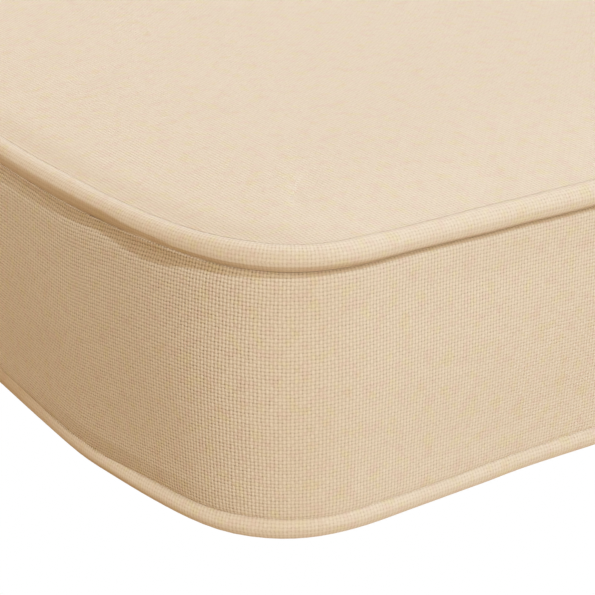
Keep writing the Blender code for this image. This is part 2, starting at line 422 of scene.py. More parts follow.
@dataclass
class Boxing:
    """The band of cloth round the sides, from its lower lip to its upper one.

    The angles and the swell have one value for the long sides and one for the short ones. The
    turns round a piping are in degrees, and their pairs are for cloth that isn't tucked in and
    for cloth that is, or a start and a width.
    """

    seam: SeamLine
    lower_angles: tuple[float, float] = (57.0, 44.0)
    lower_angle_pulled: float = 76.0
    upper_angle: float = 70.0
    tucked_angle: float = 38.0
    tuck_depth: float = 0.0010
    lower_roll: float = 0.0010
    upper_roll: float = 0.0016
    swell: tuple[float, float] = (0.0020, 0.0045)
    swell_power: tuple[float, float] = (0.7, 0.5)
    fill_share: tuple[float, float] = (0.5, 0.6)
    # The fields from here to light_turns set painted shade and painted light on the cloth; the band
    # heights also shape the tuck.
    band_low: float = 0.0007
    band_tucked: float = 0.0047
    shade_corner: float = 0.45
    shade_long: float = 0.95
    shade_tucked: float = 1.0
    foot_height: float = 0.0055
    foot_shade: float = 0.4
    foot_line: float = 0.0018
    foot_ends: float = 2.0
    soft_lip: float = 0.15
    faint_lip: float = 0.06
    tuck_gain: float = 3.0
    lower_shade_turn: float = 24.0
    foot_shade_turns: tuple[float, float] = (4.0, 14.0)
    lit_until: tuple[float, float] = (20.0, -14.0)
    dark_from: tuple[float, float] = (66.0, 11.0)
    lip_fade: tuple[float, float] = (30.0, 130.0)
    light_turns: tuple[float, float] = (40.0, 50.0)
    shares: tuple[float, ...] = (
        0, 0.0015, 0.006, 0.013, 0.022, 0.045, 0.09, 0.16, 0.26, 0.37, 0.48, 0.59, 0.69, 0.77,
        0.835, 0.885, 0.92, 0.944, 0.961, 0.974, 0.984, 0.992, 0.9975, 0.9994, 1)
    seat_end: float = 155.0
    seat_steps: tuple[tuple[float, float], ...] = (
        (0.012, 1.002), (0.08, 1.02), (0.30, 1.05), (0.62, 1.05), (1.0, 1.05))
    pulls: tuple[Tuck, ...] = (
        Tuck(Side.LEFT, -0.199, 0.034, 1.0),
        Tuck(Side.LEFT, -0.150, 0.026, -0.35),
        Tuck(Side.RIGHT, 0.190, 0.040, 0.6),
    )
    # The tables from here to lit_beads place painted shade and painted light along the sides.
    shaded_beads: tuple[Tuck, ...] = (
        Tuck(Side.LEFT, -0.095, 0.065, 1.0),
        Tuck(Side.RIGHT, 0.030, 0.090, 0.6),
    )
    late_shades: tuple[Tuck, ...] = (
        Tuck(Side.LEFT, -0.203, 0.030, 26.0),
        Tuck(Side.LEFT, -0.155, 0.030, -12.0),
        Tuck(Side.LEFT, -0.115, 0.050, -14.0),
        Tuck(Side.FRONT, -0.580, 0.030, -22.0),
    )
    pale_shades: tuple[Tuck, ...] = (
        Tuck(Side.LEFT, -0.115, 0.060, 0.35),
    )
    # Thin painted shade lines where the band meets the lower piping.
    foot_lines: tuple[Tuck, ...] = (
        Tuck(Side.LEFT, -0.145, 0.068, 1.0),
        Tuck(Side.RIGHT, 0.150, 0.070, 0.8),
    )
    shaded_feet: tuple[Tuck, ...] = (
        Tuck(Side.LEFT, -0.170, 0.060, 1.0),
        Tuck(Side.RIGHT, 0.150, 0.060, 0.8),
    )
    lit_beads: tuple[Tuck, ...] = (
        Tuck(Side.LEFT, -0.187, 0.040, 1.6),
        Tuck(Side.RIGHT, 0.187, 0.040, 1.6),
    )
    tucks: tuple[Tuck, ...] = (
        Tuck(Side.LEFT, -0.208, 0.030, 0.3),
        Tuck(Side.LEFT, -0.187, 0.022, 0.9),
        Tuck(Side.LEFT, -0.128, 0.075, 0.8),
        Tuck(Side.LEFT, 0.130, 0.080, 0.5),
        Tuck(Side.RIGHT, 0.070, 0.120, 0.6),
        Tuck(Side.BACK, 0.350, 0.200, 0.4),
    )
    hollows: tuple[Hollow, ...] = (
        Hollow(Side.LEFT, 0.120, 0.080, 0.0685, 0.0065, 0.0015),
        Hollow(Side.RIGHT, 0.090, 0.110, 0.0690, 0.0060, 0.0016),
        Hollow(Side.RIGHT, -0.130, 0.070, 0.0150, 0.0080, 0.0015),
        Hollow(Side.FRONT, 0.300, 0.160, 0.0300, 0.0200, 0.0012),
        Hollow(Side.BACK, -0.150, 0.180, 0.0450, 0.0200, 0.0012),
    )

    def _share(self, tucks: tuple[Tuck, ...]) -> np.ndarray:
        """How much a set of tucks acts at each station, from 0 to 1."""
        reaches = [tuck.share * self.seam.reach_of(tuck) for tuck in tucks]
        return np.minimum(np.sum(reaches, axis=0), 1)

    def _tuckedness(self) -> np.ndarray:
        """1 wherever the band clearly tucks in under the upper piping, and 0 where it doesn't."""
        return np.minimum(1, self._share(self.tucks) * self.tuck_gain)

    def lip_angle(self, edge: Edge) -> np.ndarray:
        """Finds where round a piping the band touches it.

        Args:
            edge: The seam of the piping.

        Returns:
            One angle a station, in degrees from the outside.
        """
        if edge is Edge.UPPER:
            return blend(self.upper_angle, self.tucked_angle, self._share(self.tucks))
        plain = blend(*self.lower_angles, self.seam.out[:, 0] ** 2)
        return blend(plain, self.lower_angle_pulled, self._share(self.pulls))

    def _down(self, highest: np.ndarray, z: np.ndarray) -> np.ndarray:
        """How far down under the piping a height is, as a share of the height of the painted shade
        band.
        """
        band = blend(self.band_low, self.band_tucked, self._share(self.tucks))
        return (highest - z) / band

    def _shade_depth(self) -> np.ndarray:
        """How deep the painted shade under the upper piping is.

        Returns:
            One number a station, from 0 to 1.
        """
        plain = blend(self.shade_corner, self.shade_long, self.seam.out[:, 1] ** 6)
        depth = blend(plain, self.shade_tucked, self._tuckedness())
        return depth * (1 - self._share(self.pale_shades))

    def shades(self) -> list[Shade]:
        """How deep the painted shade on the band is, at its foot and under the upper piping.

        Returns:
            The shade of each of its rings.
        """
        least = blend(self.soft_lip, self.faint_lip, self._tuckedness())
        foot_depth = self.foot_shade * self._share(self.shaded_feet)
        rings = self.rings()
        lowest, highest = rings[0][:, 2], rings[-1][:, 2]
        made = []
        for ring in rings:
            up = (ring[:, 2] - lowest) / self.foot_height
            line = self._share(self.foot_lines) * bump(up * self.foot_height / self.foot_line)
            down = self._down(highest, ring[:, 2])
            at_foot = Shade(np.maximum(up, self.soft_lip), np.maximum(foot_depth, line))
            at_top = Shade(np.maximum(down, least), self._shade_depth())
            made.append(at_foot if up.max() < self.foot_ends else at_top)
        return made

    def bead_shade(self, edge: Edge, angle: float) -> Shade:
        """The painted shade on a piping.

        Args:
            edge: The seam of the piping.
            angle: The angle round it in radians, from 0 outside over a quarter turn on top.

        Returns:
            The shade at each station.
        """
        above = height_angle(angle)
        if edge is Edge.LOWER:
            share = (above + self.lower_shade_turn) / self.lower_shade_turn
            depth = self._share(self.shaded_beads)
            if above < 0:
                start, turn = self.foot_shade_turns
                share = max(share, (-above - start) / turn)
                depth = np.maximum(depth, self._share(self.shaded_feet))
            return Shade(blend(OUT_OF_SHADE, IN_SHADE, min(max(share, 0.0), 1.0)), depth)
        tucked = self._tuckedness()
        later = sum(late.share * self.seam.reach_of(late) for late in self.late_shades)
        lit_until = blend(*self.lit_until, tucked) + later
        dark_from = blend(*self.dark_from, tucked) + later
        share = np.clip((-above - lit_until) / (dark_from - lit_until), 0, 1)
        down = blend(OUT_OF_SHADE, IN_SHADE, share)
        near = np.maximum((self.lip_angle(edge) + above) / blend(*self.lip_fade, tucked),
                          blend(self.soft_lip, 0.0, tucked))
        down = np.where(down < SHADE_FULL_UNTIL, np.minimum(down, near), down)
        return Shade(down, self._shade_depth())

    def bead_light(self, edge: Edge, angle: float) -> np.ndarray:
        """How much painted light, standing for light from the ground, brightens a piping's colour.

        Args:
            edge: The seam of the piping.
            angle: The angle round it in radians, from 0 outside over a quarter turn on top.

        Returns:
            One number a station, from 0 to 1.
        """
        if edge is Edge.UPPER:
            return np.zeros(self.seam.count)
        below, turn = self.light_turns
        share = (height_angle(angle) + below) / turn
        return self._share(self.lit_beads) * min(max(share, 0.0), 1.0)

    @staticmethod
    def _roll(away: np.ndarray, reach: Any) -> np.ndarray:
        """How much of its inset the cloth has at a distance from its lip, as it rolls over."""
        left = 1 - np.clip(away / reach, 0, 1)
        return 1 - np.sqrt(1 - left**2)

    def _swell(self, share: float, z: np.ndarray) -> np.ndarray:
        """How far the band stands outside the seam line.

        Args:
            share: The share of the band's height.
            z: The height of each station there.

        Returns:
            One distance a station.
        """
        short = self.seam.out[:, 0] ** 2
        bent = share ** (np.log(0.5) / np.log(blend(*self.fill_share, short)))
        arch = np.maximum(np.sin(np.pi * bent), 0) ** blend(*self.swell_power, short)
        stands = blend(*self.swell, short) * arch
        for hollow in self.hollows:
            depth = bump((z - hollow.height) / hollow.half_height) * hollow.depth
            stands -= self.seam.reach_of(hollow) * depth
        return stands

    def rings(self) -> list[np.ndarray]:
        """Lays out the band.

        Returns:
            Its rings, from the lower lip to the upper one.
        """
        sizes = self.seam.sizes
        tucked = self._share(self.tucks)
        lower_inset, lower_rise = self.seam.beside_bead(Edge.LOWER, self.lip_angle(Edge.LOWER))
        upper_inset, upper_drop = self.seam.beside_bead(Edge.UPPER, self.lip_angle(Edge.UPPER))
        lowest, highest = sizes.lower_z + lower_rise, sizes.upper_z - upper_drop
        made = []
        for share in self.shares:
            z = blend(lowest, highest, share)
            inset = lower_inset * self._roll(z - lowest, self.lower_roll)
            inset += upper_inset * self._roll(highest - z, self.upper_roll)
            inset += tucked * self.tuck_depth * bump(self._down(highest, z) * 2 - 1)
            made.append(self.seam.ring(share, inset - self._swell(share, z), z))
        return made

    def seat(self, edge: Edge) -> list[np.ndarray]:
        """Lays out the groove in which a piping sits.

        Args:
            edge: The seam of the piping.

        Returns:
            Its rings, from the band inwards.
        """
        sizes = self.seam.sizes
        middle, towards_band = (sizes.upper_z, -1) if edge is Edge.UPPER else (sizes.lower_z, 1)
        lip = self.lip_angle(edge)
        places = [self.seam.beside_bead(edge, blend(lip, self.seat_end, share), slack)
                  for share, slack in self.seat_steps]
        return [self.seam.ring(edge.value, inset, middle + towards_band * rise)
                for inset, rise in places]


@dataclass
class Crown:
    """The top panel: rings along its rim, and a grid of cells over its inner rectangle."""

    seam: SeamLine
    margin: float = 0.075
    rim_angle: float = 112.0
    rim: tuple[tuple[float, float], ...] = (
        (0.0, 0.0), (0.00025, -0.00007), (0.0006, -0.00015), (0.0012, -0.00027),
        (0.0022, -0.00045), (0.0045, -0.00075), (0.0080, -0.00085), (0.0125, -0.00068),
        (0.0190, -0.00010))
    rim_thickness: tuple[float, ...] = (0.02, 0.09, 0.27, 0.80)
    straight_until: float = 0.0270
    inner_rings: int = 6
    edge_rise: float = 0.0034
    edge_reach: float = 0.0115
    belly_power_long: float = 3.0
    belly_power_short: float = 2.5

    def __post_init__(self) -> None:
        """Works out the inner rectangle and the height of the rim."""
        sizes = self.seam.sizes
        self.rim_inset, self.rim_rise = self.seam.beside_bead(Edge.UPPER, self.rim_angle)
        self.plateau = sizes.upper_z + float(self.rim_rise.mean()) + self.rim[-1][1]
        self.belly = sizes.crown_z - self.plateau - self.edge_rise
        half_x = sizes.half_length - self.margin
        half_y = sizes.half_depth - self.margin
        self.grid_x = blend(-half_x, half_x, self.seam.spread(self.seam.long_cells))
        self.grid_y = blend(-half_y, half_y, self.seam.spread(self.seam.short_cells))

    def border(self) -> np.ndarray:
        """The points of the inner rectangle's border, one for each station."""
        rows, columns = self.seam.border_cells()
        return np.column_stack([self.grid_x[rows], self.grid_y[columns]])

    def height(self, x: np.ndarray, y: np.ndarray, distance: Any) -> np.ndarray:
        """The rise of the panel above its rim's profile.

        Args:
            x: Place along the cushion.
            y: Place along its depth.
            distance: The distance inwards from the rim.

        Returns:
            The rise at each point.
        """
        rise = self.edge_rise * (1 - np.exp(-np.maximum(0, distance) / self.edge_reach))
        long_fall = np.minimum(1, np.abs(x) / self.seam.sizes.half_length) ** self.belly_power_long
        short_fall = np.minimum(1, np.abs(y) / self.seam.sizes.half_depth) ** self.belly_power_short
        return rise + self.belly * (1 - long_fall) * (1 - short_fall)

    def rings(self) -> list[np.ndarray]:
        """Lays out the panel outside its inner rectangle.

        Returns:
            Its rings, from the rim to the rectangle's border.
        """
        upper = self.seam.sizes.upper_z
        made = []
        for inward, above in self.rim:
            flat = self.seam.inset(1, self.rim_inset + inward)
            rise = blend(self.rim_rise, self.rim_rise.mean(), inward / self.rim[-1][0])
            made.append(np.column_stack([flat, upper + rise + above
                                         + self.height(*flat.T, inward)]))
        start = self.seam.inset(1, self.rim_inset + self.straight_until)
        border = self.border()
        way = np.hypot(*(border - start).T)
        for share in np.linspace(0, 1, self.inner_rings + 1):
            flat = blend(start, border, share)
            rise = self.height(*flat.T, self.straight_until + way * share)
            made.append(np.column_stack([flat, self.plateau + rise]))
        return made

    def grid(self) -> np.ndarray:
        """Lays out the inner rectangle.

        Returns:
            Its points, border included, as an array of rows along X.
        """
        x, y = np.meshgrid(self.grid_x, self.grid_y, indexing="ij")
        sizes = self.seam.sizes
        distance = np.minimum(sizes.half_length - np.abs(x), sizes.half_depth - np.abs(y))
        rise = self.height(x, y, distance - self.rim_inset.mean())
        return np.stack([x, y, self.plateau + rise], axis=-1)


class Skin:
    """Points and faces of a mesh that is laid out in rings of one station each, and grids."""

    def __init__(self, seam: SeamLine) -> None:
        """Starts an empty skin.

        Args:
            seam: The seam line whose stations its rings have.
        """
        self.seam = seam
        self.points: list[np.ndarray] = []
        self.marks: list[dict[str, np.ndarray]] = []
        self.faces: list[tuple[int, ...]] = []
        self.threads: list[tuple[tuple[float, float], ...]] = []
        self.sharp: list[np.ndarray] = []
        self.size = 0

    def add_points(self, points: np.ndarray, **marks: Any) -> np.ndarray:
        """Adds points.

        Args:
            points: One row a point.
            marks: Numbers that the mesh keeps, for each point or for them all.

        Returns:
            The numbers of the points in the mesh.
        """
        numbers = np.arange(self.size, self.size + len(points))
        self.points.append(np.asarray(points, float))
        self.marks.append({name: np.broadcast_to(value, len(points))
                           for name, value in marks.items()})
        self.size += len(points)
        return numbers

    def add_face(self, corners: tuple[int, ...], threads: tuple[tuple[float, float], ...]) -> None:
        """Adds a face, with the place on the cloth of each corner."""
        self.faces.append(corners)
        self.threads.append(threads)

    def _strip(self, lower: np.ndarray, upper: np.ndarray,
               place: Callable[[int, int, bool], tuple[float, float]]) -> None:
        """Joins two rings with a strip of faces that face outwards where the upper one is above.

        Args:
            lower: The numbers of the lower ring's points.
            upper: The numbers of the upper ring's points.
            place: Gives the place on the cloth of a corner, from the first station of its face,
                which of the two stations it is on, and whether it is on the upper ring.
        """
        for first in range(self.seam.count):
            second = (first + 1) % self.seam.count
            self.add_face((lower[first], lower[second], upper[second], upper[first]),
                          (place(first, 0, False), place(first, 1, False),
                           place(first, 1, True), place(first, 0, True)))

    def band(self, rings: list[np.ndarray], across: list[np.ndarray]) -> None:
        """Joins rings to a band of cloth, whose threads run along it and across it.

        Args:
            rings: The numbers of each ring's points.
            across: The place across the cloth of each ring's points.
        """
        for lower, upper, *v in zip(rings, rings[1:], across, across[1:]):
            self._strip(lower, upper, lambda first, step, high: (
                self.seam.cloth_span(first)[step], v[high][(first + step) % self.seam.count]))

    def panel(self, rings: list[np.ndarray], places: list[np.ndarray]) -> None:
        """Joins rings to a panel, whose threads run along X and Y.

        Args:
            rings: The numbers of each ring's points, from the rim inwards.
            places: The place on the cloth of each ring's points.
        """
        for outer, inner, *uv in zip(rings, rings[1:], places, places[1:]):
            self._strip(outer, inner, lambda first, step, high: (
                tuple(uv[high][(first + step) % self.seam.count])))

    def grid(self, ring: np.ndarray, points: np.ndarray) -> np.ndarray:
        """Fills the inner rectangle with cells that share the border ring's points.

        Args:
            ring: The numbers of the border's points.
            points: The points of the grid, border included.

        Returns:
            The numbers of the grid's points.
        """
        long_cells, short_cells = self.seam.long_cells, self.seam.short_cells
        numbers = np.zeros((long_cells + 1, short_cells + 1), int)
        inner = self.add_points(points[1:-1, 1:-1].reshape(-1, 3), thickness=1.0)
        numbers[1:-1, 1:-1] = inner.reshape(long_cells - 1, short_cells - 1)
        numbers[self.seam.border_cells()] = ring
        for i in range(long_cells):
            for j in range(short_cells):
                cells = ((i, j), (i + 1, j), (i + 1, j + 1), (i, j + 1))
                self.add_face(tuple(numbers[cell] for cell in cells),
                              tuple(tuple(points[cell][:2]) for cell in cells))
        return numbers

    def cap(self, ring: np.ndarray, up: bool) -> None:
        """Closes a ring with one flat face.

        Args:
            ring: The numbers of the ring's points.
            up: Whether the face faces up, and not down.
        """
        corners = tuple(ring) if up else tuple(reversed(ring))
        everything = np.concatenate(self.points)
        self.add_face(corners, tuple(tuple(everything[corner][:2]) for corner in corners))

    def mesh(self, name: str) -> bpy.types.Mesh:
        """Makes the mesh, with the places on the cloth as a UV map in metres.

        Args:
            name: The name of the mesh.

        Returns:
            The mesh, shaded smooth.
        """
        made = bpy.data.meshes.new(name)
        everything = np.concatenate(self.points)
        made.from_pydata(everything.tolist(), [], [[int(c) for c in face] for face in self.faces])
        layer = made.uv_layers.new(name=THREAD_MAP)
        flat = np.array([place for face in self.threads for place in face], np.float32)
        layer.uv.foreach_set("vector", flat.ravel())
        for mark in sorted({mark for marks in self.marks for mark in marks}):
            values = [marks.get(mark, np.zeros(len(points)))
                      for points, marks in zip(self.points, self.marks)]
            attribute = made.attributes.new(mark, "FLOAT", "POINT")
            attribute.data.foreach_set("value", np.concatenate(values).astype(np.float32))
        if self.sharp:
            self._crease(made)
        made.shade_smooth()
        made.update()
        return made

    def _crease(self, made: bpy.types.Mesh) -> None:
        """Keeps the sharp rings sharp when the mesh is subdivided.

        Args:
            made: The mesh.
        """
        ring_of = np.full(self.size, -1)
        for number, ring in enumerate(self.sharp):
            ring_of[ring] = number
        ends = np.zeros(len(made.edges) * 2, np.int32)
        made.edges.foreach_get("vertices", ends)
        first, second = ring_of[ends.reshape(-1, 2)].T
        sharp = (first == second) & (first >= 0)
        made.attributes.new("crease_edge", "FLOAT", "EDGE").data.foreach_set(
            "value", sharp.astype(np.float32))
        made.attributes.new("sharp_edge", "BOOLEAN", "EDGE").data.foreach_set("value", sharp)


class Cover:
    """The whole sewn cover, in rings from the underside to the top."""

    def __init__(self, seam: SeamLine, boxing: Boxing, crown: Crown) -> None:
        """Lays the cover out as sewn, before it is filled.

        Args:
            seam: The seam line.
            boxing: The band round the sides.
            crown: The top panel.
        """
        self.seam, self.sizes = seam, seam.sizes
        sizes = seam.sizes
        self.under = [
            seam.ring(0, sizes.under_flat_inset, 0.0),
            seam.ring(0, sizes.under_inset + sizes.under_turn, 0.0),
            seam.ring(0, sizes.under_inset, sizes.under_lift),
        ]
        self.lower_seat = boxing.seat(Edge.LOWER)[::-1]
        self.band = boxing.rings()
        self.band_shades = boxing.shades()
        self.upper_seat = boxing.seat(Edge.UPPER)
        self.panel = crown.rings()
        self.grid = crown.grid()
        self.rim_thickness = crown.rim_thickness

    def rings(self) -> list[list[np.ndarray]]:
        """The rings in sewing order, by part of the cover."""
        return [self.under, self.lower_seat, self.band, self.upper_seat, self.panel]

    def move(self, points: np.ndarray) -> None:
        """Moves the cover's points.

        Args:
            points: Their new places, in the order in which skin() adds them.
        """
        at = 0
        for part in self.rings():
            for number in range(len(part)):
                part[number] = points[at:at + self.seam.count]
                at += self.seam.count
        inner = self.grid[1:-1, 1:-1]
        inner[:] = points[at:].reshape(inner.shape)
        self.grid[self.seam.border_cells()] = self.panel[-1]

    def skin(self) -> Skin:
        """Closes the whole cover, for the simulation.

        Returns:
            Its skin.
        """
        skin = Skin(self.seam)
        numbers = [skin.add_points(ring) for part in self.rings() for ring in part]
        skin.cap(numbers[0], up=False)
        skin.band(numbers, [np.zeros(self.seam.count)] * len(numbers))
        skin.grid(numbers[-1], self.grid)
        return skin


@dataclass
class Filling:
    """Blows the cover up from inside with the cloth simulation, with its seams held."""

    pressure: float = 4.0
    frames: int = 20
    start_slack: float = 0.0015
    held_within: float = 0.004
    free_from: float = 0.030
    band_free_from: float = 0.018
    foam_hold: float = 0.15
    panel_cap: float = 0.0030
    band_cap: float = 0.0012
    tension: float = 15.0
    shear: float = 5.0
    bending: float = 0.5
    cloth_weight: float = 0.25
    quality: int = 6

    def _freedom(self, cover: Cover) -> np.ndarray:
        """How free the cover's points are.

        Args:
            cover: The cover as sewn.

        Returns:
            One number a point, from 0 at the seams to 1 well away from them.
        """
        count = cover.seam.count
        shares = [np.zeros(count)] * (len(cover.under) + len(cover.lower_seat))
        lower, upper = cover.band[0][:, 2], cover.band[-1][:, 2]
        for ring in cover.band:
            away = np.minimum(ring[:, 2] - lower, upper - ring[:, 2])
            shares.append(eased(away / self.band_free_from))
        shares += [np.zeros(count)] * len(cover.upper_seat)
        rim = cover.panel[0]
        for ring in cover.panel:
            away = np.hypot(*(ring - rim)[:, :2].T)
            shares.append(eased((away - self.held_within) / (self.free_from - self.held_within)))
        inner = (cover.seam.long_cells - 1) * (cover.seam.short_cells - 1)
        shares.append(np.ones(inner))
        return np.concatenate(shares)

    def fill(self, cover: Cover) -> None:
        """Runs the simulation.

        Args:
            cover: The cover as sewn, whose points it moves.
        """
        skin = cover.skin()
        sewn = np.concatenate(skin.points)
        free = self._freedom(cover)
        mesh = skin.mesh("cover_blank")
        blank = bpy.data.objects.new("cover_blank", mesh)
        bpy.context.scene.collection.objects.link(blank)
        normals = np.zeros(len(sewn) * 3)
        mesh.vertices.foreach_get("normal", normals)
        normals = normals.reshape(-1, 3)
        start = sewn - normals * (free * self.start_slack)[:, None]
        mesh.vertices.foreach_set("co", start.ravel())
        held = blank.vertex_groups.new(name="held")
        for number, share in enumerate(free):
            held.add([number], float(1 - share * (1 - self.foam_hold)), "REPLACE")
        cloth = blank.modifiers.new("cloth", "CLOTH")
        for key, value in {
            "quality": self.quality, "mass": self.cloth_weight, "bending_stiffness": self.bending,
            "tension_stiffness": self.tension, "compression_stiffness": self.tension,
            "shear_stiffness": self.shear, "use_pressure": True,
            "uniform_pressure_force": self.pressure, "vertex_group_mass": held.name,
        }.items():
            setattr(cloth.settings, key, value)
        cloth.settings.effector_weights.gravity = 0
        cloth.point_cache.frame_end = self.frames
        scene = bpy.context.scene
        scene.frame_start, scene.frame_end = 1, self.frames
        for number in range(1, self.frames + 1):
            scene.frame_set(number)
        filled = places_of(blank.evaluated_get(bpy.context.evaluated_depsgraph_get()).data)
        scene.frame_set(1)
        bpy.data.objects.remove(blank)
        bpy.data.meshes.remove(mesh)
        step = filled - sewn
        far = np.linalg.norm(step, axis=1)
        below = len(cover.under) + len(cover.lower_seat)
        band = slice(below * cover.seam.count, (below + len(cover.band)) * cover.seam.count)
        cap = np.full(len(sewn), self.panel_cap)
        cap[band] = self.band_cap
        LOG.info("blown up by %.4f m at most, %.4f m on average, %.4f m on the band",
                 far.max(), far.mean(), far[band].max())
        step *= (cap * np.tanh(far / cap) / np.maximum(far, LEAST_STEP))[:, None]
        cover.move(sewn + step)


def in_scene(name: str, mesh: bpy.types.Mesh) -> bpy.types.Object:
    """Puts a mesh in the scene as an object.

    Args:
        name: The object's name.
        mesh: Its mesh.

    Returns:
        The object.
    """
    made = bpy.data.objects.new(name, mesh)
    bpy.context.scene.collection.objects.link(made)
    return made


def modified(name: str, mesh: bpy.types.Mesh, kind: str, **settings: Any) -> bpy.types.Mesh:
    """Applies one modifier to a mesh.

    Args:
        name: The name of the result.
        mesh: The mesh, which is used up.
        kind: The modifier's type.
        settings: The modifier's properties.

    Returns:
        The new mesh.
    """
    holder = in_scene(name + "_blank", mesh)
    modifier = holder.modifiers.new("step", kind)
    for key, value in settings.items():
        setattr(modifier, key, value)
    graph = bpy.context.evaluated_depsgraph_get()
    made = bpy.data.meshes.new_from_object(holder.evaluated_get(graph), depsgraph=graph)
    bpy.data.objects.remove(holder)
    bpy.data.meshes.remove(mesh)
    made.name = name
    return made


def smoothed(name: str, mesh: bpy.types.Mesh) -> bpy.types.Mesh:
    """Subdivides a mesh once, and uses it up."""
    return modified(name, mesh, "SUBSURF", levels=1, render_levels=1)


def thickened(name: str, mesh: bpy.types.Mesh, cloth: float) -> bpy.types.Mesh:
    """Gives a sheet the thickness of the cloth, inwards from its face, and uses it up."""
    return modified(name, mesh, "SOLIDIFY", thickness=cloth, offset=-1)


def places_of(mesh: bpy.types.Mesh) -> np.ndarray:
    """Reads the points of a mesh.

    Args:
        mesh: The mesh.

    Returns:
        One row a point.
    """
    flat = np.zeros(len(mesh.vertices) * 3)
    mesh.vertices.foreach_get("co", flat)
    return flat.reshape(-1, 3)


def marks_of(mesh: bpy.types.Mesh, mark: str) -> np.ndarray:
    """Reads the number that a mesh keeps under a name for each point.

    Args:
        mesh: The mesh.
        mark: The name.

    Returns:
        One number a point.
    """
    values = np.zeros(len(mesh.vertices), np.float32)
    mesh.attributes[mark].data.foreach_get("value", values)
    return values


def flat_rim(mesh: bpy.types.Mesh) -> None:
    """Keeps the narrow rim of a thickened sheet out of the smooth shading.

    Args:
        mesh: The sheet's mesh. The first half of its points is the outer face.
    """
    top_points = len(mesh.vertices) // 2
    for face in mesh.polygons:
        corners = face.vertices
        face.use_smooth = min(corners) >= top_points or max(corners) < top_points


def cap_ring(mesh: bpy.types.Mesh, corners: list[int]) -> None:
    """Closes an open mesh with one flat face.

    Args:
        mesh: The mesh.
        corners: The numbers of the ring's points, in the order that the face needs.
    """
    form = bmesh.new()
    form.from_mesh(mesh)
    form.verts.ensure_lookup_table()
    face = form.faces.new([form.verts[number] for number in corners])
    threads = form.loops.layers.uv[THREAD_MAP]
    for loop in face.loops:
        loop[threads].uv = loop.vert.co.xy
    form.to_mesh(mesh)
    form.free()


def rim_order(mesh: bpy.types.Mesh, near: np.ndarray) -> list[int]:
    """The open edge of a mesh that passes nearest to a point, as its points in order.

    Args:
        mesh: The mesh.
        near: A point beside the edge.

    Returns:
        The numbers of the points, counterclockwise seen from above.
    """
    form = bmesh.new()
    form.from_mesh(mesh)
    starts = [edge.verts[0] for edge in form.edges if edge.is_boundary]
    first = min(starts, key=lambda vert: (vert.co - Vector(near)).length)
    order, previous, vert = [], None, first
    while True:
        order.append(vert.index)
        onward = [edge.other_vert(vert) for edge in vert.link_edges if edge.is_boundary]
        following = next(other for other in onward if other is not previous)
        previous, vert = vert, following
        if vert is first:
            break
    flat = np.array([form.verts[:][number].co[:] for number in order])
    form.free()
    after = np.roll(flat, -1, axis=0)
    turning = np.sum(flat[:, 0] * after[:, 1] - flat[:, 1] * after[:, 0])
    return order if turning > 0 else order[::-1]


@dataclass
class PaddedBoxing:
    """The boxing with the fill that it holds. Its top and underside lie hidden under the panels."""

    cover: Cover
    panel_drop: float = 0.0040
    first_hidden_ring: int = 4
    openness_power: int = 4
    name: str = "padded_boxing"

    def _across(self, rings: list[np.ndarray]) -> list[np.ndarray]:
        """The place of each ring's points across the cloth, measured over the rings."""
        steps = [np.linalg.norm(upper - lower, axis=1) for lower, upper in zip(rings, rings[1:])]
        return list(np.cumsum([np.zeros(len(rings[0])), *steps], axis=0))

    def build(self) -> bpy.types.Object:
        """Makes the piece.

        Returns:
            Its object.
        """
        cover, seam, sizes = self.cover, self.cover.seam, self.cover.sizes
        floor = sizes.cloth + sizes.gap
        down = np.array([0, 0, self.panel_drop])
        under = [seam.ring(0, sizes.under_flat_inset, floor),
                 seam.ring(0, sizes.under_inset, floor + sizes.under_lift)]
        shown = [*cover.lower_seat, *cover.band, *cover.upper_seat]
        hidden = [ring - down for ring in cover.panel[self.first_hidden_ring:]]
        rings = [*under, *shown, *hidden]
        skin = Skin(seam)
        plain = Shade(0.0, 0.0)
        shades = [*[plain] * (len(under) + len(cover.lower_seat)), *cover.band_shades,
                  *[cover.band_shades[-1]] * len(cover.upper_seat), *[plain] * len(hidden)]
        # At the two ends, where light rakes across the weave, its relief is deeper and its light
        # and dark are painted stronger.
        openness = seam.out[:, 0] ** self.openness_power
        numbers = [skin.add_points(ring, openness=openness, **shade._asdict())
                   for ring, shade in zip(rings, shades)]
        first_lip = len(under) + len(cover.lower_seat)
        skin.sharp = [numbers[first_lip], numbers[first_lip + len(cover.band) - 1]]
        skin.band(numbers, self._across(rings))
        skin.grid(numbers[-1], cover.grid - down)
        mesh = smoothed(self.name, skin.mesh(self.name))
        cap_ring(mesh, rim_order(mesh, under[0][0])[::-1])
        made = in_scene(self.name, mesh)
        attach(made, BODY)
        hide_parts("filled_boxing")
        return made


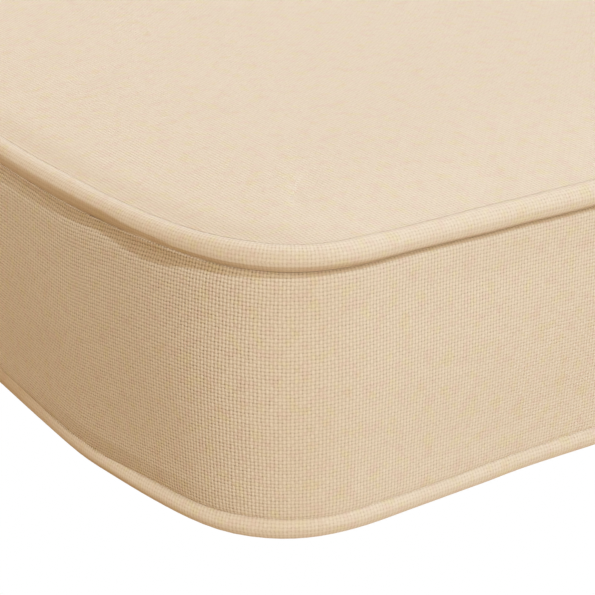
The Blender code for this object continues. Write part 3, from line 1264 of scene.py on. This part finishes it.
@dataclass
class CrownedPanel:
    """The top panel, with the soft creases of its cloth."""

    cover: Cover
    creases: tuple[Crease, ...] = (
        Crease(0.0290, 0.1400, 0.0620, 0.1475, 0.0055, 0.0007),
        Crease(0.0300, 0.1765, 0.0610, 0.1785, 0.0050, 0.0006),
        Crease(0.0880, 0.0050, 0.0930, 0.0250, 0.0060, 0.0006),
        Crease(0.0770, 0.0060, 0.0800, 0.0230, 0.0045, -0.0003),
        Crease(0.0480, 0.3700, 0.0800, 0.3560, 0.0060, 0.0007),
        Crease(0.2300, 0.0060, 0.2360, 0.0300, 0.0060, 0.0005),
        Crease(0.4700, 0.0050, 0.4660, 0.0260, 0.0055, 0.0005),
        Crease(0.7900, 0.0060, 0.7940, 0.0280, 0.0060, 0.0006),
        Crease(1.1560, 0.0700, 1.1850, 0.0850, 0.0060, 0.0007),
        Crease(1.1480, 0.2600, 1.1880, 0.2640, 0.0060, 0.0007),
        Crease(1.0100, 0.4300, 1.0060, 0.4500, 0.0060, 0.0005),
        Crease(0.6300, 0.4280, 0.6360, 0.4500, 0.0055, 0.0006),
        Crease(0.3100, 0.4300, 0.3060, 0.4500, 0.0060, 0.0005),
    )
    crease_end: float = 0.35
    # Painted shade on the panel beside the piping at the two ends.
    rim_shade: float = 0.27
    rim_shade_reach: float = 0.0140
    rim_shade_start: float = 0.75
    rim_shade_end: float = 1.15
    name: str = "crowned_panel"

    def _creased(self, points: np.ndarray) -> np.ndarray:
        """How far the creases lower the panel.

        Args:
            points: Its points.

        Returns:
            One distance a point.
        """
        sizes = self.cover.sizes
        flat = points[:, :2] + (sizes.half_length, sizes.half_depth)
        lowered = np.zeros(len(points))
        for crease in self.creases:
            start = np.array([crease.start_x, crease.start_y])
            run = np.array([crease.end_x, crease.end_y]) - start
            share = (flat - start) @ run / (run @ run)
            aside = np.linalg.norm(flat - start - share[:, None] * run, axis=1)
            ends = eased(np.minimum(share, 1 - share) / self.crease_end)
            lowered += crease.depth * ends * bump(aside / crease.half_width)
        return lowered

    def _on_cloth(self, rings: list[np.ndarray]) -> list[np.ndarray]:
        """Lays the panel flat, as its rim was before it was pulled down.

        Args:
            rings: The panel's rings, from the rim inwards.

        Returns:
            The place on the cloth of each ring's points.
        """
        places = [ring[:, :2].copy() for ring in rings]
        spare = np.zeros(len(rings[0]))
        for at in range(len(rings) - 2, -1, -1):
            step = rings[at] - rings[at + 1]
            spare = spare + np.linalg.norm(step, axis=1) - np.linalg.norm(step[:, :2], axis=1)
            places[at] += self.cover.seam.out * spare[:, None]
        return places

    def _rim_shade(self, ring: np.ndarray) -> Shade:
        """The painted shade on the panel where it slopes down to the piping at the two ends.

        Args:
            ring: One of its rings.

        Returns:
            The shade of the ring.
        """
        inward = np.hypot(*(ring - self.cover.panel[0])[:, :2].T) / self.rim_shade_reach
        depth = np.where(inward < 1, self.rim_shade * np.abs(self.cover.seam.out[:, 0]), 0.0)
        down = blend(self.rim_shade_start, self.rim_shade_end, np.minimum(inward, 1))
        return Shade(down, depth)

    def build(self) -> bpy.types.Object:
        """Makes the piece.

        Returns:
            Its object.
        """
        cover, sizes = self.cover, self.cover.sizes
        rings = cover.panel
        skin = Skin(cover.seam)
        thickness = [*cover.rim_thickness, *[1.0] * (len(rings) - len(cover.rim_thickness))]
        numbers = [skin.add_points(ring, thickness=share, **self._rim_shade(ring)._asdict())
                   for ring, share in zip(rings, thickness)]
        skin.panel(numbers, self._on_cloth(rings))
        skin.grid(numbers[-1], cover.grid)
        mesh = smoothed(self.name, skin.mesh(self.name))
        points = places_of(mesh)
        points[:, 2] -= self._creased(points)
        mesh.vertices.foreach_set("co", points.ravel())
        share = marks_of(mesh, "thickness")[:, None]
        mesh = thickened(self.name, mesh, sizes.cloth)
        top, under = np.split(places_of(mesh), 2)
        mesh.vertices.foreach_set("co", np.vstack([top, blend(top, under, share)]).ravel())
        made = in_scene(self.name, mesh)
        flat_rim(mesh)
        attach(made, BODY)
        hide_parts("top_panel")
        return made


@dataclass
class UnderPanel:
    """The bottom panel: flat where it lies, with its rim turned up beside the lower piping."""

    cover: Cover
    turn_steps: int = 4
    name: str = "under_panel"

    def build(self) -> bpy.types.Object:
        """Makes the piece.

        Returns:
            Its object.
        """
        cover, seam, sizes = self.cover, self.cover.seam, self.cover.sizes
        rings = [seam.ring(0, sizes.under_inset + sizes.under_turn * share,
                           sizes.under_lift * (1 - share) ** 2)
                 for share in np.linspace(0, 1, self.turn_steps + 1)]
        rings.append(seam.ring(0, sizes.under_flat_inset, 0.0))
        skin = Skin(seam)
        numbers = [skin.add_points(ring) for ring in rings]
        skin.panel(numbers, [ring[:, :2] for ring in rings])
        skin.cap(numbers[-1], up=True)
        mesh = skin.mesh(self.name)
        mesh.flip_normals()
        mesh = thickened(self.name, mesh, sizes.cloth)
        made = in_scene(self.name, mesh)
        flat_rim(mesh)
        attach(made, BODY)
        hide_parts("bottom_panel")
        return made


@dataclass
class PipingBead:
    """The piping in one seam: a cord wrapped in the cloth, a little uneven as sewn."""

    boxing: Boxing
    edge: Edge
    name: str
    node: str
    sides: int = 20

    def build(self) -> bpy.types.Object:
        """Makes the piece.

        Returns:
            Its object.
        """
        seam, sizes = self.boxing.seam, self.boxing.seam.sizes
        middle = sizes.upper_z if self.edge is Edge.UPPER else sizes.lower_z
        angles = 2 * np.pi * np.arange(self.sides + 1) / self.sides
        # Subdividing draws the points of a ring in, so the ring starts larger by this share.
        larger = 6 / (4 + 2 * math.cos(angles[1]))
        radius = seam.bead_radius(self.edge) * larger
        rings = [
            seam.ring(self.edge.value, sizes.bead_inset - radius * math.cos(angle),
                      middle + radius * math.sin(angle))
            for angle in angles[:-1]
        ]
        skin = Skin(seam)
        # Each piping carries painted shade and, on the lower one, painted light as marks on its
        # points.
        numbers = [
            skin.add_points(ring, ground_light=self.boxing.bead_light(self.edge, angle),
                            **self.boxing.bead_shade(self.edge, angle)._asdict())
            for ring, angle in zip(rings, angles)
        ]
        skin.band([*numbers, numbers[0]],
                  [np.full(seam.count, angle * sizes.bead_radius) for angle in angles])
        mesh = smoothed(self.name, skin.mesh(self.name))
        made = in_scene(self.name, mesh)
        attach(made, BODY)
        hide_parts(self.node)
        return made


def both_ways(operation: str) -> tuple[Callable, Callable]:
    """Makes an operator's two methods from a Math node.

    Args:
        operation: The node's operation.

    Returns:
        The method with the wire first, and the one with the wire last.
    """

    def plain(wire: "Wire", other: Any) -> "Wire":
        """The operation with the wire first."""
        return wire.bench.math(operation, wire, other)

    def reflected(wire: "Wire", other: Any) -> "Wire":
        """The operation with the wire last."""
        return wire.bench.math(operation, other, wire)

    return plain, reflected


class Wire:
    """A value in a shader. Python's operators on it lay Math nodes."""

    __add__, __radd__ = both_ways("ADD")
    __sub__, __rsub__ = both_ways("SUBTRACT")
    __mul__, __rmul__ = both_ways("MULTIPLY")
    __truediv__, __rtruediv__ = both_ways("DIVIDE")
    __mod__, __rmod__ = both_ways("FLOORED_MODULO")
    __gt__, __lt__ = both_ways("GREATER_THAN")

    def __init__(self, bench: "Bench", socket: bpy.types.NodeSocket | None) -> None:
        """Holds a socket and the bench on which it is."""
        self.bench = bench
        self.socket = socket

    def __abs__(self) -> "Wire":
        """The value without its sign."""
        return self.bench.math("ABSOLUTE", self)

    def floor(self) -> "Wire":
        """The whole number below."""
        return self.bench.math("FLOOR", self)

    def fract(self) -> "Wire":
        """The part after the whole number."""
        return self.bench.math("FRACT", self)

    def sine(self) -> "Wire":
        """The sine."""
        return self.bench.math("SINE", self)

    def larger(self, other: Any) -> "Wire":
        """The larger of two values."""
        return self.bench.math("MAXIMUM", self, other)

    def mixed(self, share: Any, other: Any) -> "Wire":
        """The value at a share of the way to the other."""
        return self + (other - self) * share


class Bench:
    """The node tree on which a material or the surroundings are put together."""

    def __init__(self, owner: bpy.types.Material | bpy.types.World) -> None:
        """Starts with the owner's tree emptied.

        Args:
            owner: The material or the world whose tree it is.
        """
        self.owner = owner
        owner.use_nodes = True
        self.tree = owner.node_tree
        self.tree.nodes.clear()

    def node(self, kind: str, settings: dict[str, Any] | None = None,
             inputs: dict[Any, Any] | None = None, output: int = 0) -> Wire:
        """Adds a node.

        Args:
            kind: The node's type.
            settings: Properties, which are set first.
            inputs: A value or a wire for each socket, by its name or number.
            output: The number of the socket that is wanted.

        Returns:
            The wire from that socket, or a loose one if the node has no sockets of that kind.
        """
        made = self.tree.nodes.new(kind)
        for key, value in (settings or {}).items():
            setattr(made, key, value)
        for key, value in (inputs or {}).items():
            if isinstance(value, Wire):
                self.tree.links.new(value.socket, made.inputs[key])
            else:
                made.inputs[key].default_value = value
        return Wire(self, made.outputs[output] if made.outputs else None)

    def shows(self, surface: Wire) -> None:
        """Makes a shader the one that the owner shows."""
        self.node(f"ShaderNodeOutput{type(self.owner).__name__}", None, {"Surface": surface})

    def math(self, operation: str, *values: Any) -> Wire:
        """Adds a Math node on wires or numbers."""
        return self.node("ShaderNodeMath", {"operation": operation}, dict(enumerate(values)))

    def colours(self, share: Any, first: Any, second: Any, way: str = "MIX") -> Wire:
        """Mixes two colours.

        Args:
            share: How much of the second one there is.
            first: A wire, or a plain colour.
            second: The same.
            way: The Mix node's blend type.

        Returns:
            The wire from the mixed colour.
        """
        pair = [value if isinstance(value, Wire) else (*value, 1.0) for value in (first, second)]
        return self.node("ShaderNodeMix", {"data_type": "RGBA", "blend_type": way},
                         {0: share, 6: pair[0], 7: pair[1]}, output=2)

    def between(self, value: Wire, low: float, high: float, to_low: float = 0.0,
                to_high: float = 1.0) -> Wire:
        """Takes a value from one span to another, with soft ends."""
        return self.node("ShaderNodeMapRange", {"interpolation_type": "SMOOTHSTEP"},
                         {0: value, 1: low, 2: high, 3: to_low, 4: to_high})

    def noise(self, place: Wire, scale: float, detail: float = 2.0) -> Wire:
        """Soft noise over a place, around 0.5."""
        return self.node("ShaderNodeTexNoise", {"noise_dimensions": "3D"},
                         {"Vector": place, "Scale": scale, "Detail": detail})

    def place(self, x: Any, y: Any, z: Any) -> Wire:
        """Joins three values to a vector."""
        return self.node("ShaderNodeCombineXYZ", None, {0: x, 1: y, 2: z})

    def reading(self, attribute: str) -> Wire:
        """Reads a number that the mesh has at each point."""
        return self.node("ShaderNodeAttribute", {"attribute_name": attribute}, output=2)


@dataclass(frozen=True)
class Canvas:
    """Matt plain-woven canvas: slubby cream yarn with small dark gaps at the crossings.

    Noises are laid out by the metre of cloth, or by the thread. The last number of a place keeps
    one noise apart from the others.
    """

    name: str
    pitch: float
    contrast: float = 1.0
    pale: tuple[float, float, float] = (0.90, 0.81, 0.69)
    deep: tuple[float, float, float] = (0.745, 0.64, 0.505)
    gap: tuple[float, float, float] = (0.42, 0.295, 0.17)
    rosy: tuple[float, float, float] = (1.0, 0.94, 0.97)
    straw: tuple[float, float, float] = (0.985, 1.0, 0.87)
    # The painted shade and the painted light multiply the cloth's colour by these.
    in_shade: tuple[float, float, float] = (0.79, 0.70, 0.57)
    in_light: tuple[float, float, float] = (1.12, 1.18, 1.26)
    unevenness: tuple[tuple[float, float], ...] = ((0.45, 110.0), (0.35, 480.0))
    own_hump: float = 0.7
    crossing_hump: float = 0.3
    tone_run: float = 0.22
    opening_span: tuple[float, float] = (0.42, 0.90)
    round_span: tuple[float, float] = (0.45, 0.98)
    pale_weights: tuple[float, ...] = (0.60, 0.14, 0.55, 0.40, 0.10)
    darkening: float = 0.40
    tint: float = 0.85
    tint_span: float = 0.18
    gap_depth: float = 0.52
    side_gain: float = 1.4
    relief: float = 0.00011
    relief_weights: tuple[float, ...] = (1.0, 0.15, 0.3, 0.4, -0.4)
    roughness: float = 0.90
    sheen: float = 0.10
    sheen_roughness: float = 0.5
    mirroring: float = 0.25

    def material(self) -> bpy.types.Material:
        """Puts the finish together.

        Returns:
            The material.
        """
        weave = Weave(self, Bench(bpy.data.materials.new(self.name)))
        bench = weave.bench
        rough = bench.between(weave.tone, 0.3, 0.7, self.roughness - 0.04, self.roughness + 0.05)
        bench.shows(bench.node("ShaderNodeBsdfPrincipled", None, {
            "Base Color": weave.colour(), "Roughness": rough, "Normal": weave.relief(),
            "Sheen Weight": self.sheen, "Sheen Roughness": self.sheen_roughness,
            "Specular IOR Level": self.mirroring}))
        return bench.owner


class Weave:
    """The threads of a canvas on its material's bench, with their colour and their relief."""

    def __init__(self, canvas: Canvas, bench: Bench) -> None:
        """Lays out which thread is on top, how high it stands, and where gaps are.

        Args:
            canvas: The finish.
            bench: The bench of its material.
        """
        self.canvas, self.bench = canvas, bench
        self.cloth = bench.node("ShaderNodeUVMap", {"uv_map": THREAD_MAP})
        self.along = bench.node("ShaderNodeSeparateXYZ", None, {0: self.cloth})
        self.across = Wire(bench, self.along.socket.node.outputs[1])
        self.u = self._threads(self.along, self.cloth)
        self.v = self._threads(self.across, bench.place(self.across, self.along, 3.7))
        column, row = self.u.floor(), self.v.floor()
        parity = ((column + row) % 2.0) * -2.0 + 1.0
        hump_u, hump_v = [(way.fract() * math.pi).sine() for way in (self.u, self.v)]
        warp = hump_u * canvas.own_hump + parity * hump_v * canvas.crossing_hump
        weft = hump_v * canvas.own_hump - parity * hump_u * canvas.crossing_hump
        self.height = warp.larger(weft)
        self.on_top = warp > weft
        warp_place = bench.place(column * 7.31, self.v * canvas.tone_run, 1.0)
        weft_place = bench.place(self.u * canvas.tone_run, row * 5.17, 9.0)
        warp_tone, weft_tone = [bench.noise(at, 1.0, 3.0) for at in (warp_place, weft_place)]
        self.tone = weft_tone.mixed(self.on_top, warp_tone)
        edge_u, edge_v = [abs(way.fract() - 0.5) * 2.0 for way in (self.u, self.v)]
        uneven = bench.noise(bench.place(self.u, self.v, 5.0), 0.6)
        self.opening = (bench.between(edge_u * edge_v, *canvas.opening_span)
                        * bench.between(uneven, 0.30, 0.70, 0.0, 1.1))
        # Deeper relief and stronger painted light and shade of the weave at the ends, where light
        # rakes across it.
        self.gain = bench.reading("openness") * canvas.side_gain + 1.0

    def _threads(self, run: Wire, place: Wire) -> Wire:
        """Counts the threads along one direction of the cloth, unevenly as woven.

        Args:
            run: The place along that direction.
            place: The place at which the noises are taken.

        Returns:
            The count, whose whole part is the number of the thread.
        """
        count = run / self.canvas.pitch
        for size, scale in self.canvas.unevenness:
            count = count + (self.bench.noise(place, scale) - 0.5) * size
        return count

    @staticmethod
    def _weighed(values: tuple[Wire, ...], weights: tuple[float, ...]) -> Wire:
        """The sum of some values, each times its weight."""
        return sum(value * weight for value, weight in zip(values, weights))

    def colour(self) -> Wire:
        """Colours the yarn and the gaps, with painted light and shade on them.

        Returns:
            The wire from the colour.
        """
        canvas, bench = self.canvas, self.bench
        fleck = bench.noise(bench.place(self.u, self.v, 2.0), 1.3)
        cloud = bench.noise(self.cloth, 30.0, 3.0)
        # Crowns and warp floats are painted paler and crossings darker, as the relief's light and
        # shade.
        rounding = bench.between(self.height, *canvas.round_span)
        pallor = self._weighed((rounding, self.on_top, self.tone, fleck, cloud),
                               canvas.pale_weights) - canvas.darkening
        pallor = (pallor - 0.5) * self.gain * canvas.contrast + 0.5
        colour = bench.colours(bench.between(pallor, -0.1, 1.1), canvas.deep, canvas.pale)
        turned = bench.place(self.across, self.along, 8.1)
        for tint, place, scale, low in ((canvas.rosy, self.cloth, 260.0, 0.50),
                                        (canvas.straw, turned, 230.0, 0.52)):
            share = bench.between(bench.noise(place, scale), low, low + canvas.tint_span,
                                  0.0, canvas.tint)
            colour = bench.colours(share, colour, tint, "MULTIPLY")
        opening = self.opening * self.gain * (canvas.gap_depth * canvas.contrast)
        colour = bench.colours(opening, colour, canvas.gap)
        # Painted shade and painted light, read from the marks on the mesh.
        down = bench.reading("shade_down")
        shade = (bench.between(down, SHADE_FULL_UNTIL, SHADE_ENDED, 1.0, 0.0)
                 * bench.between(down, 0.0, SHADE_FULL_FROM) * bench.reading("shade_depth"))
        colour = bench.colours(shade, colour, canvas.in_shade, "MULTIPLY")
        return bench.colours(bench.reading("ground_light"), colour, canvas.in_light, "MULTIPLY")

    def relief(self) -> Wire:
        """Raises the threads and the fuzz of the yarn, and sinks the gaps.

        Returns:
            The wire from the surface direction.
        """
        canvas, bench = self.canvas, self.bench
        fuzz = bench.noise(self.cloth, 2600.0)
        height = self._weighed((self.height, self.on_top, fuzz, self.tone, self.opening),
                               canvas.relief_weights)
        return bench.node("ShaderNodeBump", None, {
            "Strength": 1.0, "Distance": canvas.relief * canvas.contrast,
            "Height": height * self.gain})


@dataclass(frozen=True)
class Light:
    """One large soft light of the studio, and where it stands as seen from the target.

    The azimuth is 0 on the right, and goes counterclockwise seen from above.
    """

    name: str
    azimuth: float
    elevation: float
    power: float
    colour: tuple[float, float, float] = (1.0, 1.0, 1.0)
    distance: float = 2.5
    size: float = 1.4

    def place(self, target: Vector) -> None:
        """Puts the light in the scene.

        Args:
            target: The point that it faces.
        """
        data = bpy.data.lights.new(self.name, "AREA")
        data.shape = "SQUARE"
        data.size = self.size
        data.energy = self.power
        data.color = self.colour
        made = bpy.data.objects.new(self.name, data)
        around, up = math.radians(self.azimuth), math.radians(self.elevation)
        away = Vector((math.cos(around) * math.cos(up), math.sin(around) * math.cos(up),
                       math.sin(up)))
        made.location = target + away * self.distance
        made.rotation_euler = away.to_track_quat("Z", "Y").to_euler()
        bpy.context.scene.collection.objects.link(made)


@dataclass
class Studio:
    """A pale floor, soft lights and the camera at the photo's angle."""

    sizes: Sizes
    floor_half: float = 60.0
    floor_drop: float = 0.0004
    sky: tuple[float, float, float] = (0.355, 0.191, 0.046)
    ground: tuple[float, float, float] = (0.589, 0.418, 0.255)
    ground_until: float = -0.15
    sky_from: float = 0.25
    lights: tuple[Light, ...] = (
        Light("front_light", azimuth=-90, elevation=15, power=33.4, colour=(0.799, 0.931, 1.0)),
        Light("right_light", azimuth=-15, elevation=35, power=31.8, colour=(0.569, 0.767, 1.0)),
        Light("back_light", azimuth=90, elevation=45, power=25.5, colour=(0.804, 0.906, 1.0)),
        Light("left_light", azimuth=180, elevation=50, power=16.5, colour=(0.927, 1.0, 0.988)),
    )
    target: tuple[float, float, float] = (-0.55, -0.2, 0.04)
    camera_at: tuple[float, float, float] = (-0.2222, -0.3570, 0.2482)
    camera_tilt: float = 67.0
    camera_turn: float = -34.2
    lens: float = SENSOR_WIDTH * FOCAL_PIXELS / PHOTO_PIXELS
    nearest: float = 0.01

    def _floor(self) -> None:
        """Lays the white floor, which shows pure white as in the photo."""
        half = self.floor_half
        mesh = bpy.data.meshes.new("floor")
        mesh.from_pydata([(-half, -half, 0), (half, -half, 0), (half, half, 0), (-half, half, 0)],
                         [], [(0, 1, 2, 3)])
        bench = Bench(bpy.data.materials.new("white_ground"))
        glow = bench.node("ShaderNodeEmission", None, {"Color": (1, 1, 1, 1), "Strength": 1.0})
        bench.shows(glow)
        mesh.materials.append(bench.owner)
        floor = in_scene("floor", mesh)
        floor.location.z = -self.floor_drop
        floor.visible_diffuse = False
        floor.visible_glossy = False
        floor.visible_shadow = False

    def _surroundings(self) -> None:
        """Sets the soft light from all round, warmer and dimmer from below."""
        bench = Bench(bpy.data.worlds.new("studio"))
        way = bench.node("ShaderNodeTexCoord")
        up = bench.node("ShaderNodeSeparateXYZ", None, {0: way}, output=2)
        share = bench.node("ShaderNodeMapRange", None,
                           {0: up, 1: self.ground_until, 2: self.sky_from})
        glow = bench.colours(share, self.ground, self.sky)
        bench.shows(bench.node("ShaderNodeBackground", None, {0: glow}))
        bpy.context.scene.world = bench.owner

    def _camera(self) -> None:
        """Sets the camera close to the front left corner, as in the photo."""
        data = bpy.data.cameras.new("camera")
        data.sensor_width = SENSOR_WIDTH
        data.lens = self.lens
        data.clip_start = self.nearest
        made = bpy.data.objects.new("camera", data)
        corner = (-self.sizes.half_length, -self.sizes.half_depth, self.sizes.lower_z)
        made.location = [start + step for start, step in zip(corner, self.camera_at)]
        made.rotation_euler = (math.radians(self.camera_tilt), 0, math.radians(self.camera_turn))
        bpy.context.scene.collection.objects.link(made)
        bpy.context.scene.camera = made

    def build(self) -> None:
        """Sets up the studio."""
        self._floor()
        self._surroundings()
        for light in self.lights:
            light.place(Vector(self.target))
        self._camera()
        bpy.context.scene.view_settings.view_transform = "Standard"


def main() -> None:
    """Builds the cushion and its studio."""
    logging.basicConfig(level=logging.INFO, format="%(name)s: %(message)s")
    sizes = Sizes.of_frame()
    seam = SeamLine(sizes)
    boxing = Boxing(seam)
    cover = Cover(seam, boxing, Crown(seam))
    Filling().fill(cover)
    # An even number of threads goes round, so that the weave meets itself at the join.
    pitch = seam.girth / (2 * round(seam.girth / (2 * THREAD_PITCH)))
    finishes = {slot: Canvas(slot.value, pitch, CONTRASTS[slot]).material() for slot in Slot}
    pieces = (
        (PaddedBoxing(cover), Slot.BOXING),
        (CrownedPanel(cover), Slot.PANEL),
        (UnderPanel(cover), Slot.PANEL),
        (PipingBead(boxing, Edge.UPPER, "upper_piping_bead", "top_piping"), Slot.PIPING),
        (PipingBead(boxing, Edge.LOWER, "lower_piping_bead", "bottom_piping"), Slot.PIPING),
    )
    for piece, slot in pieces:
        made = piece.build()
        made.data.materials.append(finishes[slot])
        made.data.calc_loop_triangles()
        LOG.info("%s: %d triangles", made.name, len(made.data.loop_triangles))
    Studio(sizes).build()


if __name__ == "__main__":
    main()
